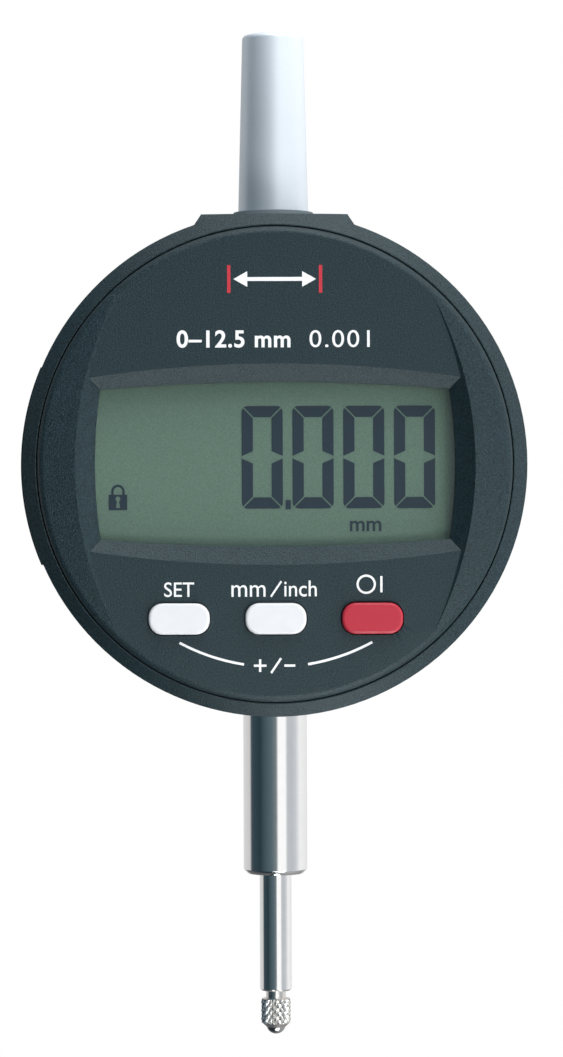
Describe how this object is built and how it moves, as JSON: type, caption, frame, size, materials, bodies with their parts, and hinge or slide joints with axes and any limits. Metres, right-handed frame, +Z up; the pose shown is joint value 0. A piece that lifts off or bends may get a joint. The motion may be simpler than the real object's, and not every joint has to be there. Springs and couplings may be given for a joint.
{
  "type": "digital dial indicator",
  "caption": "Digital dial indicator: round black case with turning display head, clamping stem, sprung plunger with ball contact, guard cap, keys and battery drawer.",
  "frame": {"origin": "on the plunger's axis, at the middle of the clamping stem's plain 8 mm length", "axes": "+Z up along the plunger's axis towards the guard cap, -Y out of the display, +X to the display's right"},
  "size_m": [0.0629, 0.0245, 0.1255],
  "materials": {
    "case_plastic": "fine moulded grain, matt",
    "head_plastic": "fine moulded grain, matt",
    "drawer_plastic": "matt",
    "cap_metal": "satin silver",
    "stem_steel": "ground, polished",
    "spindle_steel": "ground, polished",
    "tip_steel": "diamond knurled",
    "ball_steel": "polished",
    "bush_bronze": "reamed",
    "nut_brass": "plain",
    "screw_steel": "black zinc",
    "seal_rubber": "matt",
    "lens_plastic": "clear",
    "lcd": "grey-green display",
    "white_plastic": "satin white",
    "white_key": "satin white",
    "red_key": "satin red",
    "board_green": "solder mask",
    "chip_black": "moulded",
    "spring_steel": "drawn wire",
    "rail_steel": "ground",
    "carrier_metal": "machined",
    "scale_glass": "ground strip with fine lines",
    "contact_metal": "gold flashed",
    "cell_steel": "nickel plated",
    "bay_plastic": "matt",
    "ribbon_film": "amber film",
    "conductive_rubber": "striped silicone"
  },
  "bodies": {
    "case_body": {"case_housing": "case_plastic", "back_cover": "case_plastic", "cover_screws": "screw_steel", "cover_gasket": "seal_rubber", "clamping_stem": "stem_steel", "stem_nut": "nut_brass", "lower_bushing": "bush_bronze", "upper_bushing": "bush_bronze", "wiper_seal": "seal_rubber", "stop_bumper": "seal_rubber", "guard_cap": "cap_metal", "cap_washer": "seal_rubber", "snap_ring": "spring_steel", "guide_rail": "rail_steel", "rail_screws": "screw_steel", "sensor_standoffs": "nut_brass", "sensor_board": "board_green", "reading_head": "chip_black", "sensor_screws": "screw_steel", "flex_cable": "ribbon_film", "battery_bay": "bay_plastic", "battery_contacts": "contact_metal", "return_spring": "spring_steel"},
    "display_head": {"front_shell": "head_plastic", "window_lens": "lens_plastic", "lcd_panel": "lcd", "lcd_frame": "bay_plastic", "lcd_reflector": "white_plastic", "zebra_connectors": "conductive_rubber", "display_board": "board_green", "dome_switches": "contact_metal", "keypad_spacer": "ribbon_film", "head_back_plate": "bay_plastic", "head_screws": "screw_steel", "head_o_ring": "seal_rubber"},
    "plunger": {"spindle": "spindle_steel", "contact_point": "tip_steel", "contact_ball": "ball_steel", "scale_carrier": "carrier_metal", "carrier_screws": "screw_steel", "guide_pin": "rail_steel", "measuring_scale": "scale_glass"},
    "battery_tray": {"battery_drawer": "drawer_plastic", "battery_cell": "cell_steel"},
    "set_key": {"set_button": "white_key"},
    "unit_key": {"unit_button": "white_key"},
    "power_key": {"power_button": "red_key"}
  },
  "joints": [
    {"name": "plunger_slide", "type": "slide", "parent": "case_body", "child": "plunger", "axis": [0, 0, 1], "range_m": [0, 0.0125], "stiffness_N_per_m": 20, "springref_m": -0.0325, "deforming": ["return_spring"]},
    {"name": "head_turn", "type": "hinge", "parent": "case_body", "child": "display_head", "pos_m": [0, 0, 0.04063], "axis": [0, 1, 0], "range_deg": [-135, 135]},
    {"name": "battery_drawer_slide", "type": "slide", "parent": "case_body", "child": "battery_tray", "axis": [-1, 0, 0], "range_m": [0, 0.024]},
    {"name": "set_press", "type": "slide", "parent": "display_head", "child": "set_key", "axis": [0, 1, 0], "range_m": [0, 0.0005]},
    {"name": "unit_press", "type": "slide", "parent": "display_head", "child": "unit_key", "axis": [0, 1, 0], "range_m": [0, 0.0005]},
    {"name": "power_press", "type": "slide", "parent": "display_head", "child": "power_key", "axis": [0, 1, 0], "range_m": [0, 0.0005]}
  ]
}
